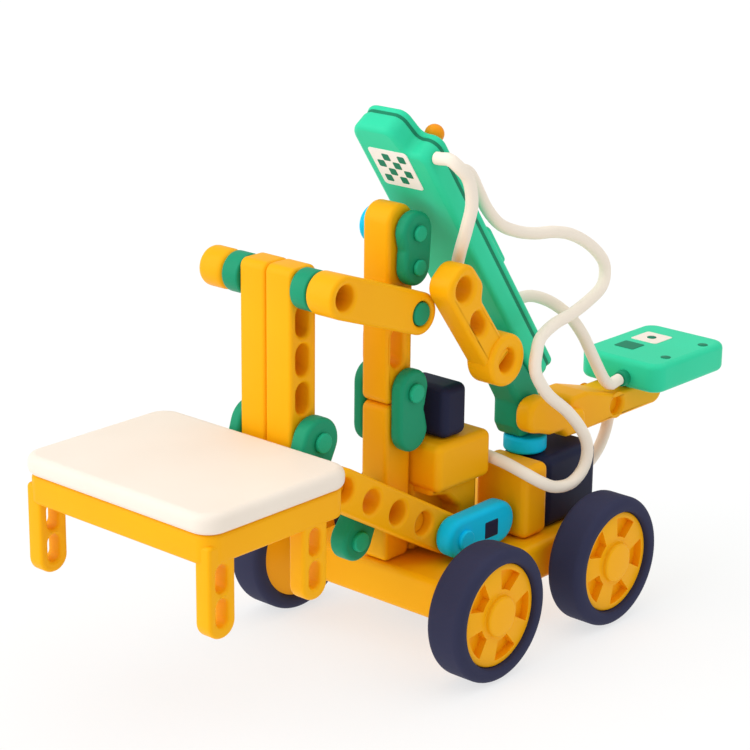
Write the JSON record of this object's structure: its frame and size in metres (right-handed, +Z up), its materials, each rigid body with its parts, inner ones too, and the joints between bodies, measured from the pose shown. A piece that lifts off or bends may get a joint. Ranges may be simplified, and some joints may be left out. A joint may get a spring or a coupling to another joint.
{
  "type": "toy robot lift vehicle",
  "caption": "Four-wheeled construction-kit robot: a linkage lift carries a small table, and a turret holds a leaning controller and a sensor arm, joined by loose cables.",
  "frame": {"origin": "centre of the whole object's outline on the floor under the wheels", "axes": "+X along the axles towards the lift's beams, +Y from the table to the sensor arm, +Z up"},
  "size_m": [0.1526, 0.3706, 0.2597],
  "materials": {
    "yellow_plastic": "satin",
    "orange_plastic": "satin",
    "dark_green_plastic": "satin",
    "light_green_plastic": "satin",
    "navy_plastic": "matte",
    "tyre": "matte",
    "blue_plastic": "satin",
    "cream_plastic": "satin",
    "cable": "matte",
    "steel": "brushed",
    "board": "matte",
    "battery": "satin"
  },
  "bodies": {
    "root": {"chassis": "yellow_plastic", "battery_pack": "battery", "gearbox_front": "yellow_plastic", "motor_front": "navy_plastic", "gearbox_rear": "yellow_plastic", "motor_rear": "navy_plastic", "mast_lower": "yellow_plastic", "mast_upper": "yellow_plastic", "mast_plate_right": "dark_green_plastic", "mast_plate_left": "dark_green_plastic", "mast_splice_pin": "light_green_plastic", "mast_top_plate": "dark_green_plastic", "mast_top_pin_lower": "light_green_plastic", "mast_top_pin_upper": "light_green_plastic", "mast_cap": "blue_plastic", "lift_pin": "yellow_plastic", "upper_arm_pin": "dark_green_plastic"},
    "front_axle": {"front_axle_rod": "steel", "front_rim_left": "yellow_plastic", "front_tyre_left": "tyre", "front_rim_right": "yellow_plastic", "front_tyre_right": "tyre"},
    "rear_axle": {"rear_axle_rod": "steel", "rear_rim_left": "yellow_plastic", "rear_tyre_left": "tyre", "rear_rim_right": "yellow_plastic", "rear_tyre_right": "tyre"},
    "lift_beam": {"perforated_beam": "yellow_plastic", "beam_plate": "dark_green_plastic", "beam_plate_pin": "light_green_plastic"},
    "lever": {"lever_arm": "blue_plastic", "lever_key": "navy_plastic", "lever_pin": "blue_plastic"},
    "carriage": {"post_left": "yellow_plastic", "post_right": "yellow_plastic", "crossbar_rod": "yellow_plastic", "crossbar_ring_inner": "dark_green_plastic", "crossbar_ring_outer": "dark_green_plastic", "crossbar_knob": "yellow_plastic", "lower_rod": "yellow_plastic", "ear_left": "dark_green_plastic", "ear_right": "dark_green_plastic", "ear_pin": "light_green_plastic", "table_top": "cream_plastic", "table_frame": "yellow_plastic"},
    "upper_arm": {"upper_arm_beam": "yellow_plastic"},
    "turret": {"turret_knob": "blue_plastic", "neck": "dark_green_plastic", "controller_front": "light_green_plastic", "controller_back": "light_green_plastic", "controller_board": "board", "sensor_arm": "yellow_plastic", "sensor_box": "light_green_plastic", "side_link_pin": "yellow_plastic", "cable_front": "cable", "cable_front_gearbox": "cable", "cable_sensor": "cable", "cable_rear_motor": "cable"},
    "button": {"power_button": "orange_plastic"},
    "side_link": {"side_link_arm": "yellow_plastic"}
  },
  "joints": [
    {"name": "front_axle_spin", "type": "hinge", "parent": "root", "child": "front_axle", "pos_m": [0.00325, -0.0289, 0.0325], "axis": [1, 0, 0], "continuous": true},
    {"name": "rear_axle_spin", "type": "hinge", "parent": "root", "child": "rear_axle", "pos_m": [0.00325, 0.0606, 0.0325], "axis": [1, 0, 0], "continuous": true},
    {"name": "lift", "type": "hinge", "parent": "root", "child": "lift_beam", "pos_m": [0.00325, -0.0281, 0.0649], "axis": [-1, 0, 0], "range_deg": [-15, 0]},
    {"name": "carriage_level", "type": "hinge", "parent": "lift_beam", "child": "carriage", "pos_m": [0.00325, -0.08292, 0.09655], "axis": [-1, 0, 0], "range_deg": [0, 17.25]},
    {"name": "upper_arm_swing", "type": "hinge", "parent": "root", "child": "upper_arm", "pos_m": [0.00325, -0.0319, 0.168], "axis": [-1, 0, 0], "range_deg": [-16.65, 0]},
    {"name": "lever_swing", "type": "hinge", "parent": "lift_beam", "child": "lever", "pos_m": [0.00325, -0.00983, 0.05435], "axis": [1, 0, 0], "range_deg": [0, 60]},
    {"name": "turret_turn", "type": "hinge", "parent": "root", "child": "turret", "pos_m": [0.02225, 0.0531, 0.09], "axis": [0, 0, 1], "range_deg": [0, 16], "deforming": ["cable_front_gearbox", "cable_rear_motor"]},
    {"name": "side_link_swing", "type": "hinge", "parent": "turret", "child": "side_link", "pos_m": [0.00325, 0.0116, 0.1395], "axis": [1, 0, 0], "range_deg": [0, 45]},
    {"name": "button_press", "type": "slide", "parent": "turret", "child": "button", "axis": [0, -0.8192, -0.5736], "range_m": [0, 0.001], "stiffness_N_per_m": 300}
  ],
  "couplings": [
    {"joint": "carriage_level", "follows": "lift", "ratio": -1.15},
    {"joint": "upper_arm_swing", "follows": "lift", "ratio": 1.11}
  ]
}
